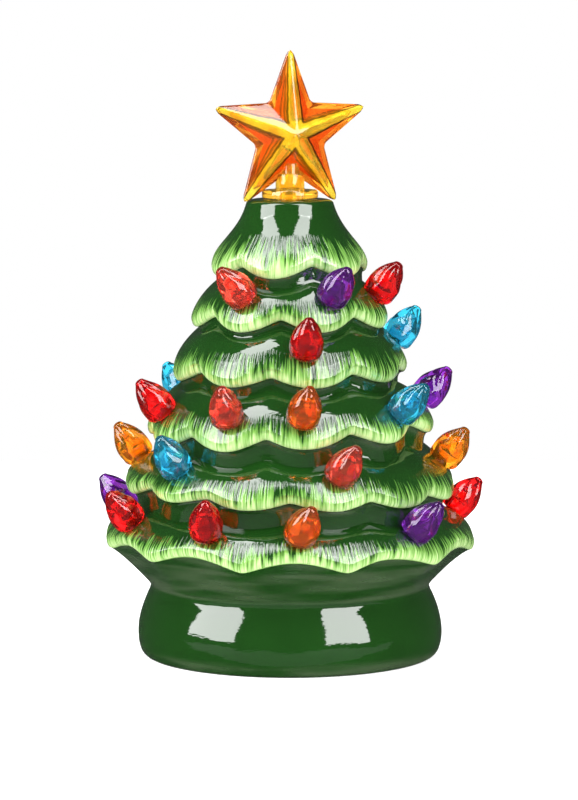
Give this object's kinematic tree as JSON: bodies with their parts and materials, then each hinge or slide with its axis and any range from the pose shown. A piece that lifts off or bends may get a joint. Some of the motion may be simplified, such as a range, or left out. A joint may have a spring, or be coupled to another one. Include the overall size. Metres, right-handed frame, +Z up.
{
  "type": "ceramic tabletop tree",
  "caption": "Glazed ceramic tabletop tree with scalloped tiers, clear coloured plastic bulbs, a star topper and a battery light unit in its base.",
  "frame": {"origin": "centre of the foot ring's underside, where the tree stands", "axes": "+Z up the trunk to the star; -Y is the side seen in front; +X to the viewer's right"},
  "size_m": [0.1148, 0.1156, 0.1781],
  "materials": {
    "green_glaze": "clear glossy glaze over dark green, light dry-brushed needles along the rims",
    "bulb_red": "clear coloured plastic, polished",
    "bulb_coral": "clear coloured plastic, polished",
    "bulb_orange": "clear coloured plastic, polished",
    "bulb_amber": "clear coloured plastic, polished",
    "bulb_purple": "clear coloured plastic, polished",
    "bulb_turquoise": "clear coloured plastic, polished",
    "star_amber": "clear amber plastic, polished",
    "black_plastic": "fine moulded texture",
    "white_plastic": "satin moulded",
    "rubber": "soft matt black",
    "nickel": "bright nickel plate",
    "cell_wrap": "printed shrink sleeve with no text",
    "board_green": "solder mask",
    "lamp_epoxy": "clear warm epoxy",
    "red_wire": "flexible insulation",
    "black_wire": "flexible insulation"
  },
  "bodies": {
    "tree": {"battery_1": "cell_wrap", "battery_2": "cell_wrap", "battery_3": "cell_wrap", "bulb_01_coral": "bulb_coral", "bulb_02_purple": "bulb_purple", "bulb_03_red": "bulb_red", "bulb_04_turquoise": "bulb_turquoise", "bulb_05_amber": "bulb_amber", "bulb_06_red": "bulb_red", "bulb_07_turquoise": "bulb_turquoise", "bulb_08_coral": "bulb_coral", "bulb_09_purple": "bulb_purple", "bulb_10_red": "bulb_red", "bulb_11_coral": "bulb_coral", "bulb_12_orange": "bulb_orange", "bulb_13_turquoise": "bulb_turquoise", "bulb_14_purple": "bulb_purple", "bulb_15_amber": "bulb_amber", "bulb_16_red": "bulb_red", "bulb_17_turquoise": "bulb_turquoise", "bulb_18_amber": "bulb_amber", "bulb_19_turquoise": "bulb_turquoise", "bulb_20_coral": "bulb_coral", "bulb_21_amber": "bulb_amber", "bulb_22_red": "bulb_red", "bulb_23_orange": "bulb_orange", "bulb_24_purple": "bulb_purple", "bulb_25_red": "bulb_red", "bulb_26_red": "bulb_red", "bulb_27_orange": "bulb_orange", "bulb_28_purple": "bulb_purple", "bulb_29_red": "bulb_red", "bulb_30_turquoise": "bulb_turquoise", "bulb_31_coral": "bulb_coral", "bulb_32_amber": "bulb_amber", "ceramic_tree": "green_glaze", "circuit_board": "board_green", "contact_bridge_front": "nickel", "contact_bridge_rear": "nickel", "contact_negative": "nickel", "contact_positive": "nickel", "contact_spring_1": "nickel", "contact_spring_2": "nickel", "contact_spring_3": "nickel", "lamp_1": "lamp_epoxy", "lamp_2": "lamp_epoxy", "lamp_3": "lamp_epoxy", "module_housing": "black_plastic", "rubber_grommet": "rubber", "switch_body": "black_plastic", "wire_black": "black_wire", "wire_red": "red_wire", "wire_switch": "red_wire"},
    "star_topper": {"star_front": "star_amber", "star_rear": "star_amber", "star_stem": "star_amber"},
    "battery_cover": {"battery_door": "black_plastic", "door_screw": "nickel"},
    "switch_knob": {"switch_slider": "white_plastic"}
  },
  "joints": [
    {"name": "switch_slide", "type": "slide", "parent": "tree", "child": "switch_knob", "axis": [1, 0, 0], "range_m": [0, 0.002]},
    {"name": "door_lift_off", "type": "slide", "parent": "tree", "child": "battery_cover", "axis": [0, 0, -1], "range_m": [0, 0.03]},
    {"name": "star_lift_off", "type": "slide", "parent": "tree", "child": "star_topper", "axis": [0, 0, 1], "range_m": [0, 0.025]}
  ]
}
